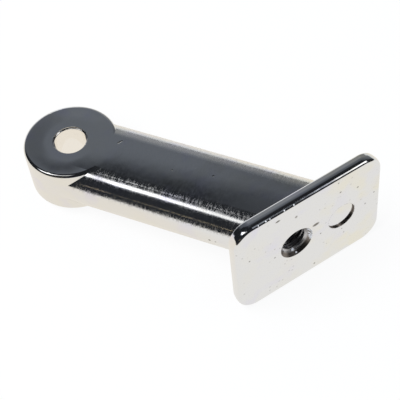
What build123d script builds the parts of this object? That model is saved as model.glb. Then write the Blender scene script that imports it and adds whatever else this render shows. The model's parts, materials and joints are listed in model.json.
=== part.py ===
from build123d import *
from math import cos, radians, sin, tan
import os

# Oven handle bracket: one zinc die casting, polished and chrome plated.
# A slanted arm with full-round sides carries a flat eye for the handle rail's screw at its outer
# end, and runs into a rectangular foot plate that a screw pulls against the oven door.
#
# Frame: the origin is the mouth of the screw hole on the door face. +X leaves the door,
# +Z is along the eye's bore, and +Y is the side that the arm leans to. Lengths are in millimetres.

# Foot plate
PLATE_LENGTH = 33.0  # at the widest line, before its crown is rounded; the height likewise
PLATE_HEIGHT = 23.7
PLATE_THICKNESS = 2.6
PLATE_CORNER_RADIUS = 4.2
PLATE_PARTING = 1.1  # from the door face to the widest line round the plate's edge
PLATE_EDGE_DRAFT = 10.0  # degrees, both ways from that line
PLATE_CROWN_RADIUS = 2.5
PLATE_DOOR_EDGE_RADIUS = 0.6
PLATE_ARM_EDGE_RADIUS = 0.45
PLATE_OFFSET = -3.1  # from the screw hole to the middle of the plate, along Y

# Arm and eye
ARM_SLANT = 32.9  # degrees, away from square to the door
ARM_WIDTH = 18.6
ARM_THICKNESS = 10.2
ARM_ROOT_RADIUS = 1.0
ARM_ROOT_OFFSET = -0.5  # from the middle of the plate to the middle of the arm's foot, along Y
EYE_DIAMETER = 18.8
EYE_STANDOFF = 43.8  # from the door face to the eye's bore
EYE_EDGE_RADIUS = 0.7
EYE_BORE_DIAMETER = 6.4
EYE_BORE_EDGE_RADIUS = 0.3

# Tapped hole for the door screw, drawn at the thread's outer diameter
THREAD_DIAMETER = 6.0
THREAD_DEPTH = 14.0
THREAD_MOUTH_DIAMETER = 7.2
DRILL_POINT_ANGLE = 118.0

# Round cavity mark sunk in the door face
MARK_DIAMETER = 6.1
MARK_DEPTH = 0.4
MARK_OFFSET = -10.4  # from the screw hole, along Y

# The arm's axis leaves the middle of its foot on the plate's arm side.
axis_direction = Vector(cos(radians(ARM_SLANT)), sin(radians(ARM_SLANT)), 0)
root_y = PLATE_OFFSET + ARM_ROOT_OFFSET
eye_y = root_y + (EYE_STANDOFF - PLATE_THICKNESS) * tan(radians(ARM_SLANT))
eye_centre = Vector(EYE_STANDOFF, eye_y, 0)


def make_plate():
    """Rounded rectangle on the door face; its edge is crowned by draft both ways from its widest line."""
    outline = Plane.YZ.offset(PLATE_PARTING) * Pos(PLATE_OFFSET, 0) * RectangleRounded(
        PLATE_LENGTH, PLATE_HEIGHT, PLATE_CORNER_RADIUS
    )
    arm_half = extrude(outline, PLATE_THICKNESS - PLATE_PARTING, dir=(1, 0, 0), taper=PLATE_EDGE_DRAFT)
    door_half = extrude(outline, PLATE_PARTING, dir=(-1, 0, 0), taper=PLATE_EDGE_DRAFT)
    plate = arm_half + door_half
    door_edges = plate.faces().sort_by(Axis.X)[0].edges()
    plate = fillet(door_edges, PLATE_DOOR_EDGE_RADIUS)
    arm_edges = plate.faces().sort_by(Axis.X)[-1].edges()
    plate = fillet(arm_edges, PLATE_ARM_EDGE_RADIUS)
    crown_edges = plate.edges().filter_by_position(Axis.X, PLATE_PARTING - 1e-4, PLATE_PARTING + 1e-4)
    return fillet(crown_edges, PLATE_CROWN_RADIUS)


def make_arm():
    """Bar with full-round sides, from the eye's centre into the plate, trimmed inside the plate."""
    section_plane = Plane(eye_centre, x_dir=(0, 0, 1), z_dir=-axis_direction)
    section = section_plane * Rot(0, 0, 90) * SlotOverall(ARM_WIDTH, ARM_THICKNESS)
    past_the_door = EYE_STANDOFF / cos(radians(ARM_SLANT)) + ARM_WIDTH
    bar = extrude(section, past_the_door)
    trim_plane = Plane.YZ.offset(PLATE_THICKNESS / 2)
    return split(bar, trim_plane, keep=Keep.TOP)


def make_eye():
    """Flat round boss, as thick as the arm, with softened rims."""
    boss = Pos(*eye_centre) * Cylinder(EYE_DIAMETER / 2, ARM_THICKNESS)
    rims = boss.edges().filter_by(GeomType.CIRCLE)
    return fillet(rims, EYE_EDGE_RADIUS)


def eye_bore():
    """Straight bore that opens into a small round at each face, turned about the eye's axis."""
    bore = EYE_BORE_DIAMETER / 2
    edge = EYE_BORE_EDGE_RADIUS
    top = ARM_THICKNESS / 2
    with BuildPart() as cutter:
        with BuildSketch(Plane.XZ):
            with BuildLine():
                wall = Line((bore, top - edge), (bore, edge - top))
                RadiusArc(wall @ 1, (bore + edge, -top), edge)
                Polyline((bore + edge, -top), (0, -top), (0, top), (bore + edge, top))
                RadiusArc((bore + edge, top), wall @ 0, edge)
            make_face()
        revolve(axis=Axis.Z)
    return Pos(*eye_centre) * cutter.part


def screw_hole():
    """Blind hole with a countersunk mouth and a drilled point, turned about its own axis."""
    hole = THREAD_DIAMETER / 2
    mouth = THREAD_MOUTH_DIAMETER / 2
    point = hole / tan(radians(DRILL_POINT_ANGLE / 2))
    with BuildPart() as cutter:
        with BuildSketch(Plane.XY):
            with BuildLine():
                Polyline(
                    (0, 0),
                    (0, mouth),
                    (mouth - hole, hole),
                    (THREAD_DEPTH, hole),
                    (THREAD_DEPTH + point, 0),
                    close=True,
                )
            make_face()
        revolve(axis=Axis.X)
    return cutter.part


def cavity_mark():
    """Shallow round sinking in the door face."""
    disc = Plane.YZ * Pos(MARK_OFFSET, 0) * Circle(MARK_DIAMETER / 2)
    return extrude(disc, MARK_DEPTH)


def round_arm_root(casting):
    """Casting fillet where the arm runs out of the plate."""
    def on_foot(edge):
        middle = edge @ 0.5
        in_plate = abs(middle.Y - PLATE_OFFSET) < PLATE_LENGTH / 2 - PLATE_ARM_EDGE_RADIUS
        within_arm = abs(middle.Z) < ARM_THICKNESS / 2 + ARM_ROOT_RADIUS
        return abs(middle.X - PLATE_THICKNESS) < 1e-4 and in_plate and within_arm

    foot_edges = casting.edges().filter_by(on_foot)
    return fillet(foot_edges, ARM_ROOT_RADIUS)


casting = make_plate() + make_arm()
casting = round_arm_root(casting)
casting = casting + make_eye()
bracket = casting - eye_bore() - screw_hole() - cavity_mark()

os.makedirs("parts", exist_ok=True)
export_step(bracket, "parts/handle_bracket.step")
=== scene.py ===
import json
from math import cos, radians, sin

import bpy
import numpy as np
from mathutils import Euler, Matrix, Vector


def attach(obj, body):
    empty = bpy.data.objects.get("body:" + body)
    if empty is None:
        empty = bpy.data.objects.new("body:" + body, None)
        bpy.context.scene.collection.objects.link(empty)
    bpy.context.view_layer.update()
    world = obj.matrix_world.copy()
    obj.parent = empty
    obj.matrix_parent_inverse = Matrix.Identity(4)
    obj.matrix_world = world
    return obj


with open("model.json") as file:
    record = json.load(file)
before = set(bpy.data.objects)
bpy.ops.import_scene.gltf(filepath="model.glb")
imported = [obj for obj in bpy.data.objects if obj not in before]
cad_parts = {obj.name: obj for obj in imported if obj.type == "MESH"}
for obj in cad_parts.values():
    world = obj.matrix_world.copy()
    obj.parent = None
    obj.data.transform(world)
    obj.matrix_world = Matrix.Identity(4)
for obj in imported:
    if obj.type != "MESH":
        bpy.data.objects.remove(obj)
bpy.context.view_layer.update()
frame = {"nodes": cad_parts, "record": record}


# The casting: foot plate, slanted arm and eye in one piece of zinc alloy.
# It is polished across the arm and then plated with bright chrome.
class Val:
    """A shader socket that takes part in sums: an expression on values adds its Math nodes."""

    def __init__(self, tree, socket=None):
        self.tree = tree
        self.socket = socket

    def make(self, kind, settings=None, out=0, **sockets):
        """Adds any node: its settings first, then each input by its name, or by i and its number."""
        node = self.tree.nodes.new(kind)
        for name, value in (settings or {}).items():
            setattr(node, name, value)
        for name, value in sockets.items():
            key = int(name[1:]) if name[0] == "i" and name[1:].isdigit() else name.replace("_", " ")
            if isinstance(value, Val):
                self.tree.links.new(value.socket, node.inputs[key])
            else:
                node.inputs[key].default_value = value
        return Val(self.tree, node.outputs[out] if node.outputs else None)

    def math(self, operation, *others):
        sockets = {f"i{number}": other for number, other in enumerate((self,) + others)}
        return self.make("ShaderNodeMath", {"operation": operation}, **sockets)

    def __add__(self, other):
        return self.math("ADD", other)

    __radd__ = __add__

    def __sub__(self, other):
        return self.math("SUBTRACT", other)

    def __rsub__(self, other):
        return self.make("ShaderNodeMath", {"operation": "SUBTRACT"}, i0=other, i1=self)

    def __mul__(self, other):
        return self.math("MULTIPLY", other)

    __rmul__ = __mul__

    def __abs__(self):
        return self.math("ABSOLUTE")

    def most(self, other):
        """The larger of two values."""
        return self.math("MAXIMUM", other)

    def least(self, other):
        """The smaller of two values."""
        return self.math("MINIMUM", other)

    def hypot(self, other):
        """Length of the long side over two values at a right angle."""
        return (self * self + other * other).math("SQRT")

    def step(self, low, high):
        """Smooth step from 0 at low to 1 at high."""
        smooth = {"interpolation_type": "SMOOTHSTEP"}
        return self.make("ShaderNodeMapRange", smooth, Value=self, From_Min=low, From_Max=high)

    def band(self, low, full, end, gone):
        """1 from full to end, with a smooth step up from low and down to gone."""
        return self.step(low, full) * (1 - self.step(end, gone))

    def dot(self, direction):
        """Dot product of a vector with a direction."""
        return self.make("ShaderNodeVectorMath", {"operation": "DOT_PRODUCT"}, out=1, i0=self, i1=direction)

    def mix(self, share, first, second):
        """Colour mix: first where the share is 0, second where it is 1."""
        return self.make("ShaderNodeMix", {"data_type": "RGBA"}, out=2, i0=share, i6=first, i7=second)


def new_tree(owner):
    """Empties the nodes of a material or world and returns a value to start from."""
    owner.use_nodes = True
    owner.node_tree.nodes.clear()
    return Val(owner.node_tree)


# Places on the casting in mm: back from the eye along the arm, to the arm's front, and from the door.
MM = 1000.0
MOUNTS = {mount["name"]: mount for mount in frame["record"]["mounts"]}
EYE_CENTRE = Vector(MOUNTS["handle_eye"]["pos_m"]) * MM
EYE_RADIUS = 9.4
BORE_RADIUS = MOUNTS["handle_eye"]["dims"]["r_mm"]
ARM_SLANT = radians(32.9)
ARM_OUT = Vector((cos(ARM_SLANT), sin(ARM_SLANT), 0.0))
ARM_FRONT = Vector((-sin(ARM_SLANT), cos(ARM_SLANT), 0.0))
ARM_HALF_FLAT = 4.2
ARM_HALF_THICKNESS = 5.1
PLATE_THICKNESS = 2.6

chrome = bpy.data.materials.new("chrome_plate")
start = new_tree(chrome)
place = start.make("ShaderNodeTexCoord", out="Object")
place = start.make("ShaderNodeVectorMath", {"operation": "SCALE"}, i0=place, Scale=MM)
from_eye = start.make("ShaderNodeVectorMath", {"operation": "SUBTRACT"}, i0=place, i1=EYE_CENTRE)
along = from_eye.dot(-ARM_OUT)
front = from_eye.dot(ARM_FRONT)
depth = place.dot((1.0, 0.0, 0.0))
side = place.dot((0.0, 1.0, 0.0))
rise = place.dot((0.0, 0.0, 1.0))
eye_reach = along.hypot(front)
past_plate = depth.step(PLATE_THICKNESS, PLATE_THICKNESS + 0.6)
on_arm = eye_reach.step(EYE_RADIUS, EYE_RADIUS + 0.8) * past_plate
on_shoulder = abs(front).step(ARM_HALF_FLAT - 0.8, ARM_HALF_FLAT + 1.2)
low_front = front.step(7.2, 8.4)


def noise(scale, detail=2.0, vector=place):
    """Smooth noise with the given number of cells per mm."""
    return start.make("ShaderNodeTexNoise", Vector=vector, Scale=scale, Detail=detail)


# Polishing lines lie across the arm, fine and short, and a little coarser towards the plate.
# The middle of the front shoulder and both sides' lowest part are buffed nearly clear of them.
LINES_ALONG = 4.6
LINES_ACROSS = 1.1
MIRROR_ROUGHNESS = 0.08
ARM_ROUGHNESS = 0.03
LINE_ROUGHNESS = 0.22
line_place = start.make(
    "ShaderNodeCombineXYZ",
    X=along * LINES_ALONG, Y=front * LINES_ACROSS, Z=rise * LINES_ACROSS,
)
lines = noise(1.0, vector=line_place)
coarse = 0.85 + 0.15 * along.step(12.0, 34.0)
unbuffed = (1 - 0.65 * front.band(6.1, 6.9, 7.8, 8.8)) * abs(rise).step(1.0, 2.4)
line_share = lines.step(0.36, 0.66) * (0.3 + 0.7 * on_shoulder) * coarse * unbuffed
roughness = MIRROR_ROUGHNESS + on_arm * (ARM_ROUGHNESS + LINE_ROUGHNESS * line_share)

# The polish rounds the flats off a little before the shoulders and the eye's rim.
# It leaves slow waves, a fine ripple on the low front, and the lines themselves. Depths are in mm.
ARM_ROLL_OFF = 0.008
ARM_ROLL_START = -2.0
ARM_ROLL_WIDTH = 7.6
EYE_ROLL_OFF = 0.15
WAVE_DEPTH = 0.05
RIPPLE_DEPTH = 0.012
LINE_DEPTH = 0.004
off_middle = (front - ARM_ROLL_START).most(0.0).least(ARM_ROLL_WIDTH)
near_flat = (1 - abs(rise).step(ARM_HALF_THICKNESS + 0.3, ARM_HALF_THICKNESS + 0.9)) * past_plate
arm_roll = off_middle * off_middle * ARM_ROLL_OFF * along.step(2.0, 13.0) * near_flat
eye_roll = eye_reach.step(4.8, EYE_RADIUS) * EYE_ROLL_OFF * (1 - along.step(0.0, 9.0))
eye_roll = eye_roll * (0.8 + 0.6 * front.step(-2.0, 6.0))
ripple = noise(2.2)
line_relief = (0.25 + 0.75 * on_shoulder) * lines * LINE_DEPTH
arm_relief = on_arm * (low_front * ripple * RIPPLE_DEPTH + line_relief)
relief = noise(0.15) * WAVE_DEPTH - arm_roll - eye_roll + arm_relief

# Pits on the door face, the arm's top and its low front: centre and radius in mm.
PITS = (
    ((0.0, -14.0, 6.0), 0.3),
    ((0.0, -10.0, 7.5), 0.3),
    ((0.0, -18.0, 1.5), 0.25),
    ((0.0, -9.5, 10.5), 0.25),
    ((0.0, 0.0, 8.0), 0.4),
    ((0.0, -5.5, -1.5), 0.25),
    ((0.0, 10.5, 3.0), 0.25),
    ((0.0, 5.0, -0.5), 0.25),
    ((0.0, -4.0, -10.0), 0.3),
    ((0.0, -10.5, -4.0), 0.2),
    ((0.0, -11.0, -5.5), 0.2),
    ((0.0, -16.0, -0.5), 0.25),
    ((30.0, 6.5, 5.1), 0.25),
    ((25.0, 11.0, 5.1), 0.2),
    ((19.0, 5.5, 5.1), 0.25),
    ((10.5, 12.5, -0.3), 0.35),
    ((9.5, 11.8, -0.3), 0.25),
)
PIT_DARKNESS = 0.75
# Long knocks, two on the door face and one on the arm's top: centre, half length, half width.
KNOCKS = (
    ((0.0, -4.4, 2.2), 1.0, 0.5),
    ((0.0, 4.0, 9.8), 0.7, 0.3),
    ((37.3, 15.4, 5.1), 0.8, 0.2),
)
MARK_DEPTH = 0.03
MARK_ROUGHNESS = 0.4


def mark(centre, half_length, half_width):
    """Soft-edged ellipsoid with its length along Y: 1 inside, 0 outside."""
    local = start.make(
        "ShaderNodeMapping",
        {"vector_type": "TEXTURE"},
        Vector=place, Location=centre, Scale=(half_width, half_length, half_width),
    )
    reach = start.make("ShaderNodeVectorMath", {"operation": "LENGTH"}, out=1, i0=local)
    return 1 - reach.step(0.45, 1.0)


# Fine specks and the worn rim of the round recess join the pits and knocks.
RECESS_OFFSET = -10.4
RECESS_RADIUS = 3.05
SPECK_CELLS = 0.52
SPECK_DARKNESS = 0.3
RIM_DARKNESS = 0.4
on_face = 1 - depth.step(0.1, 0.3)
face_place = start.make("ShaderNodeCombineXYZ", X=side, Y=rise)
cells = start.make(
    "ShaderNodeTexVoronoi",
    {"voronoi_dimensions": "2D"},
    Vector=face_place, Scale=SPECK_CELLS,
)
specks = (1 - cells.step(0.05, 0.13)) * noise(0.26, detail=1.0).step(0.52, 0.66)
recess_reach = (side - RECESS_OFFSET).hypot(rise)
off_recess = abs(recess_reach - RECESS_RADIUS)
rim = 1 - off_recess.step(0.05, 0.17)
marks = on_face * (specks * SPECK_DARKNESS).most(rim * ripple.step(0.42, 0.6) * RIM_DARKNESS)
for centre, radius in PITS:
    marks = marks.most(mark(centre, radius, radius) * PIT_DARKNESS)
for knock in KNOCKS:
    marks = marks.most(mark(*knock))
relief = relief - marks * MARK_DEPTH

# Chips in the plate's rounded top edge, then glints at the start of the thread, all painted glints: centre,
# radius.
CHIPS_AND_GLINTS = (
    ((0.2, 0.3, 11.55), 0.2),
    ((0.2, 2.4, 11.55), 0.2),
    ((0.2, 5.5, 11.55), 0.15),
    ((0.2, 6.4, 11.55), 0.2),
    ((0.2, 8.0, 11.55), 0.15),
    ((0.3, 0.0, -3.3), 0.25),
    ((0.9, 0.4, -2.8), 0.4),
    ((1.9, 1.1, -2.3), 0.3),
    ((1.0, 2.4, -1.6), 0.3),
)
GLINT_ROUGHNESS = 0.7
# The tapped hole and the recess's wall are dull, and the wall takes the dull brown of the hole's mouth as
# painted shade.
# Patches of white plating stay on the mouth's far side, painted matt white as a painted highlight.
MOUTH_RADIUS = 3.6
MOUTH_DEPTH = 0.6
HOLE_END = 15.8
DULL_ROUGHNESS = 0.34
LIP_PLATING_GLINT = 0.85
in_mouth = 1 - side.hypot(rise).step(MOUTH_RADIUS - 0.05, MOUTH_RADIUS + 0.05)
in_hole = in_mouth * (1 - depth.step(HOLE_END, HOLE_END + 0.2))
past_mouth = depth.step(MOUTH_DEPTH - 0.1, MOUTH_DEPTH + 0.2)
far_lip = (rise * 0.2 - side * 0.98).step(2.6, 3.0) * (1 - past_mouth)
chips_and_glints = in_hole * far_lip * ripple.step(0.40, 0.5) * LIP_PLATING_GLINT
for centre, radius in CHIPS_AND_GLINTS:
    reach = start.make("ShaderNodeVectorMath", {"operation": "DISTANCE"}, out=1, i0=place, i1=centre)
    chips_and_glints = chips_and_glints.most(1 - reach.step(radius * 0.4, radius))
recess_wall = (1 - off_recess.step(0.07, 0.15)) * depth.band(0.02, 0.06, 0.6, 0.8)
dull_and_shaded = in_hole.most(recess_wall)

# Faint yellow and lilac clouds tint the plating, and dirt darkens the marks.
# The bare metal in the hole is brown at its mouth, bright on the first turns, and painted dark beyond as
# painted shade.
PLATING = (0.87, 0.868, 0.86, 1)
YELLOW_PLATING = (0.9, 0.87, 0.76, 1)
LILAC_PLATING = (0.83, 0.82, 0.9, 1)
# The bore's walls are painted brighter and warmer than the plating, as painted light.
BORE_PAINTED_LIGHT = (0.97, 0.955, 0.93, 1)
DIRT = (0.16, 0.14, 0.11, 1)
DIRT_SHARE = 0.85
BARE_MOUTH = (0.24, 0.21, 0.185, 1)
BARE_THREAD = (0.6, 0.59, 0.59, 1)
BARE_DEPTH_SHADE = (0.3, 0.3, 0.31, 1)
GLINT_WHITE = (0.98, 0.98, 0.98, 1)
other_clouds = start.make(
    "ShaderNodeTexNoise",
    {"noise_dimensions": "4D"},
    Vector=place, W=3.0, Scale=0.19, Detail=2.0,
)
to_front_end = side.step(-16.0, 6.0)
yellow = noise(0.16).step(0.46, 0.66) * (1 - 0.8 * to_front_end)
lilac = other_clouds.step(0.48, 0.7) * (0.35 + 0.65 * to_front_end)
in_bore = 1 - eye_reach.step(BORE_RADIUS + 0.1, BORE_RADIUS + 0.4)
bare_with_shade = start.mix(past_mouth, BARE_MOUTH, BARE_THREAD)
# Painted shade: the bare metal darkens deeper in the hole.
bare_with_shade = start.mix(depth.step(1.0, 3.0), bare_with_shade, BARE_DEPTH_SHADE)
colour = start.mix(yellow, PLATING, YELLOW_PLATING)
colour = start.mix(lilac, colour, LILAC_PLATING)
# Painted light: the bore's walls are brighter and warmer.
colour = start.mix(in_bore, colour, BORE_PAINTED_LIGHT)
colour = start.mix(marks * DIRT_SHARE, colour, DIRT)
# The hole's bare metal, with the recess's wall in it as painted shade.
colour = start.mix(dull_and_shaded, colour, bare_with_shade)
# Painted glints: the chips, the lip's plating and the thread's glints are matt white, not metal.
colour = start.mix(chips_and_glints, colour, GLINT_WHITE)
roughness = roughness.most(marks * MARK_ROUGHNESS).most(dull_and_shaded * DULL_ROUGHNESS).most(chips_and_glints * GLINT_ROUGHNESS)
bump = start.make("ShaderNodeBump", Height=relief, Distance=1 / MM, Strength=1.0)
metal = start.make(
    "ShaderNodeBsdfPrincipled",
    Base_Color=colour, Roughness=roughness, Metallic=1 - chips_and_glints, Normal=bump,
)
start.make("ShaderNodeOutputMaterial", Surface=metal)
for slot in frame["nodes"]["handle_bracket"].material_slots:
    slot.material = chrome


# The screw thread in the foot plate's blind hole, cut into the casting.
# M6 coarse: it starts in the countersunk mouth and runs out before the drilled end.
THREAD_OUTER = 0.0030
THREAD_INNER = 0.0025
THREAD_PITCH = 0.0010
THREAD_START = MOUTH_DEPTH / MM
THREAD_END = 0.0130
RIDGE_HALF_FOOT = 0.46875  # in pitches, as the flank
RIDGE_FLANK = 0.3125
LINING_DEPTH = 0.00012  # how far the sleeve is let into the drilled wall
LINING_LEAST = 0.00001


def thread_lining(around=120, along=300):
    """Closed sleeve in the hole: its outside is let into the drilled wall, its inside is the thread.

    The inside radius is a wave between the outer and inner radius, with its phase the distance
    along the hole in pitches less the turn, never below the countersink's cone.
    """
    turn = np.linspace(0.0, 2 * np.pi, around, endpoint=False)
    reach = np.linspace(THREAD_START, THREAD_END, along)
    turns, reaches = np.meshgrid(turn, reach, indexing="xy")
    phase = (reaches / THREAD_PITCH - turns / (2 * np.pi)) % 1.0
    ridge = np.clip((RIDGE_HALF_FOOT - np.abs(phase - 0.5)) / RIDGE_FLANK, 0.0, 1.0)
    fade = np.clip((THREAD_END - reaches) / THREAD_PITCH, 0.0, 1.0)
    radius = THREAD_OUTER - (THREAD_OUTER - THREAD_INNER) * ridge * fade
    radius = np.maximum(radius, MOUTH_RADIUS / MM - reaches)
    radius = np.minimum(radius, THREAD_OUTER - LINING_LEAST)
    inside = np.stack([reaches, radius * np.cos(turns), radius * np.sin(turns)], -1)
    wall = THREAD_OUTER + LINING_DEPTH
    ends = np.array([THREAD_END, THREAD_START])[:, None] + 0 * turn
    outside = np.stack([ends, wall * np.cos(turn) + 0 * ends, wall * np.sin(turn) + 0 * ends], -1)
    rings = np.concatenate([inside, outside])
    index = np.arange(len(rings) * around).reshape(len(rings), around)
    following = np.roll(index, -1, axis=0)
    quads = np.stack([index, np.roll(index, -1, 1), np.roll(following, -1, 1), following], -1)
    return rings.reshape(-1, 3), quads.reshape(-1, 4)


def add_piece(name, points, faces, material):
    """A mesh piece with smooth faces, at the origin."""
    mesh = bpy.data.meshes.new(name)
    mesh.from_pydata(points.tolist(), [], faces.tolist())
    mesh.polygons.foreach_set("use_smooth", np.ones(len(faces), bool))
    mesh.materials.append(material)
    mesh.update()
    piece = bpy.data.objects.new(name, mesh)
    bpy.context.scene.collection.objects.link(piece)
    return piece


points, faces = thread_lining()
thread = add_piece("door_screw_thread", points, faces, chrome)
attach(thread, "root")


# The table: a plain white sheet that the bracket lies on, touching the plate's lower edge and the eye's rim.
# It leans by that rest's angle, because the bracket keeps the square frame of its mounting face.
# The plating mirrors a painted reflection: cream near the bracket, grey beyond, painted shade brown to black
# towards the camera.
REST_HEIGHT = -0.0121
REST_SLOPE = 0.1323
TABLE_HALF = 2.0
CAMERA_SIDE = Vector((-0.889, 0.457, 0.0))
SHEET = (0.9, 0.9, 0.9, 1)
SEEN_GLOW = 0.9  # the rest of what the camera sees is the sheet itself, with the bracket's shadow
CREAM_AT_PLATE = (0.846, 0.838, 0.824, 1)
CREAM_AT_ARM = (0.855, 0.812, 0.74, 1)
GREY_BEYOND = (0.68, 0.7, 0.71, 1)
BROWN = (0.3, 0.24, 0.165, 1)
DARK = (0.012, 0.013, 0.015, 1)
WHITE = (1, 1, 1, 1)

paper = bpy.data.materials.new("table_paper")
start = new_tree(paper)
table_place = start.make("ShaderNodeTexCoord", out="Object")
near = table_place.dot(CAMERA_SIDE)
beyond = table_place.dot(-CAMERA_SIDE).step(0.03, 0.12)
deep = table_place.dot((1.0, 0.0, 0.0))
before_door = 1 - deep.step(-0.02, 0.005)
# Painted shade: the mirrored glow fades to dark towards the camera.
lit = 1 - (near - 0.06 * before_door).step(0.05, 0.26) * 0.98
painted_reflection = start.mix(deep.step(-0.004, 0.02), CREAM_AT_PLATE, CREAM_AT_ARM)
painted_reflection = start.mix(beyond, painted_reflection, GREY_BEYOND)
painted_reflection = start.mix(lit, DARK, painted_reflection)
painted_reflection = start.mix(lit * (1 - lit) * 2.4, painted_reflection, BROWN)
seen = start.make("ShaderNodeLightPath", out="Is Camera Ray")
mirrored = start.make("ShaderNodeLightPath", out="Is Glossy Ray")
sheet = start.make("ShaderNodeBsdfDiffuse", Color=SHEET)
glow = start.make("ShaderNodeEmission", Color=start.mix(mirrored, WHITE, painted_reflection), Strength=1.0)
surface = start.make("ShaderNodeMixShader", i0=seen * SEEN_GLOW + mirrored, i1=sheet, i2=glow)
start.make("ShaderNodeOutputMaterial", Surface=surface)

table_x = np.array([-TABLE_HALF, TABLE_HALF, TABLE_HALF, -TABLE_HALF])
table_y = np.array([-TABLE_HALF, -TABLE_HALF, TABLE_HALF, TABLE_HALF])
table_points = np.stack([table_x, table_y, REST_HEIGHT + REST_SLOPE * table_x], -1)
table = add_piece("table", table_points, np.array([[0, 1, 2, 3]]), paper)


# The room that the plating mirrors: nearly black on the camera's side, grey beyond, with a bright far end.
# A white panel hangs overhead and a second one beside it, and a thin golden strip lies low in front.
# The camera itself sees plain white, and other light comes evenly from all round.
OVERHEAD = Vector((0.060, 0.474, 0.878)).normalized()
OVERHEAD_CROSS = OVERHEAD.cross(ARM_OUT).normalized()
OVERHEAD_LONG = OVERHEAD_CROSS.cross(OVERHEAD).normalized()
STRIP = Vector((-0.2205, 0.907, 0.359)).normalized()
STRIP_CROSS = STRIP.cross(ARM_OUT).normalized()
BLACK_LEVEL = 0.02
HAZE_LEVEL = 0.06
WALL_LEVEL = 0.12
WALL_RISE = 0.13
FAR_END_LEVEL = 0.7
SECOND_LEVEL = 1.5
STRIP_LEVEL = 0.8
EVEN_LEVEL = 0.55
BLUE_GREY = (0.86, 0.95, 1.1, 1)
GOLDEN = (1.0, 0.82, 0.52, 1)

room = bpy.data.worlds.new("room")
bpy.context.scene.world = room
start = new_tree(room)
ray = start.make("ShaderNodeTexCoord", out="Generated")
height = ray.dot((0.0, 0.0, 1.0))
doorward = ray.dot((-1.0, 0.0, 0.0))
sideward = ray.dot((0.0, -1.0, 0.0))
outward = ray.dot(ARM_OUT)
away = ray.dot(-CAMERA_SIDE)
crosswise = ray.dot(OVERHEAD_CROSS)
eye_end = outward.step(0.335, 0.40)
panel = crosswise.step(-0.2, -0.13) * (1 - (crosswise * (1 - 0.4 * eye_end)).step(0.02, 0.1))
panel = panel * (1 - abs(ray.dot(OVERHEAD_LONG)).step(0.30, 0.42)) * ray.dot(OVERHEAD).step(0.0, 0.3)
panel_level = 0.8 + 0.8 * outward.step(0.27, 0.33) + 0.5 * eye_end
second = sideward.band(0.355, 0.42, 0.6, 0.7) + 0.2 * sideward.band(0.2, 0.28, 0.315, 0.35)
second = second * doorward.band(0.03, 0.1, 0.6, 0.74) * height.step(0.2, 0.4)
strip = (1 - abs(ray.dot(STRIP_CROSS)).step(0.006, 0.012)) * ray.dot(STRIP).step(0.80, 0.95)
strip = strip * (1 - outward.step(0.33, 0.38))
plate_end = 1 - outward.step(0.25, 0.33)
haze = away.step(0.3, 0.44) * outward.step(0.08, 0.24) * plate_end * HAZE_LEVEL
wall = BLACK_LEVEL + away.step(0.50, 0.64) * WALL_LEVEL + away.step(0.68, 0.93) * WALL_RISE
wall = (wall * (1 - 0.25 * plate_end)).most(haze)
wall = wall * (1 - 0.3 * outward.step(0.44, 0.51) * (1 - away.step(0.72, 0.8)))
wall = wall + away.step(0.84, 0.96) * outward.step(0.45, 0.55) * FAR_END_LEVEL
far_floor = (1 - height.step(-0.04, -0.01)) * away.step(-0.2, 0.2)
level = wall + panel * panel_level + second * SECOND_LEVEL + strip * STRIP_LEVEL
level = level.most(far_floor)
white_share = (panel + second + far_floor + away.step(0.7, 0.9) * 0.7).least(1.0)
shade = start.mix(strip, start.mix(white_share, BLUE_GREY, WHITE), GOLDEN)
seen = start.make("ShaderNodeLightPath", out="Is Camera Ray")
mirrored = start.make("ShaderNodeLightPath", out="Is Glossy Ray")
level = seen + (1 - seen) * (mirrored * level + (1 - mirrored) * EVEN_LEVEL)
background = start.make("ShaderNodeBackground", Color=shade, Strength=level)
start.make("ShaderNodeOutputWorld", Surface=background)


# The soft lamp hangs where the overhead panel is seen, and gives the bracket its faint shadow on the table.
# The plating doesn't mirror it, since the panel stands for it there.
LAMP_WIDTH = 0.7
LAMP_DEPTH = 0.5
LAMP_WATTS = 8.0
LAMP_DISTANCE = 1.0

lamp_data = bpy.data.lights.new("soft_lamp", "AREA")
lamp_data.shape = "RECTANGLE"
lamp_data.size = LAMP_WIDTH
lamp_data.size_y = LAMP_DEPTH
lamp_data.energy = LAMP_WATTS
lamp = bpy.data.objects.new("soft_lamp", lamp_data)
bpy.context.scene.collection.objects.link(lamp)
lamp.location = OVERHEAD * LAMP_DISTANCE
lamp.rotation_euler = OVERHEAD.to_track_quat("Z", "Y").to_euler()
lamp.visible_glossy = False


# The camera stands where the photograph was taken from: above the plate's door side, close to the bracket.
# Its place and angles were fitted to the bracket's outline in the photograph.
CAMERA_PLACE = Vector((-0.09733, 0.06881, 0.16619))
CAMERA_ANGLES = (38.021, 4.781, -123.290)
CAMERA_LENS = 98.98
SENSOR_WIDTH = 36.0
NEAR_LIMIT = 0.005
FAR_LIMIT = 20.0

camera_data = bpy.data.cameras.new("camera")
camera_data.sensor_width = SENSOR_WIDTH
camera_data.lens = CAMERA_LENS
camera_data.clip_start = NEAR_LIMIT
camera_data.clip_end = FAR_LIMIT
camera = bpy.data.objects.new("camera", camera_data)
bpy.context.scene.collection.objects.link(camera)
camera_turn = Euler([radians(angle) for angle in CAMERA_ANGLES]).to_matrix()
camera.matrix_world = Matrix.Translation(CAMERA_PLACE) @ camera_turn.to_4x4()
bpy.context.scene.camera = camera
bpy.context.scene.view_settings.view_transform = "Standard"
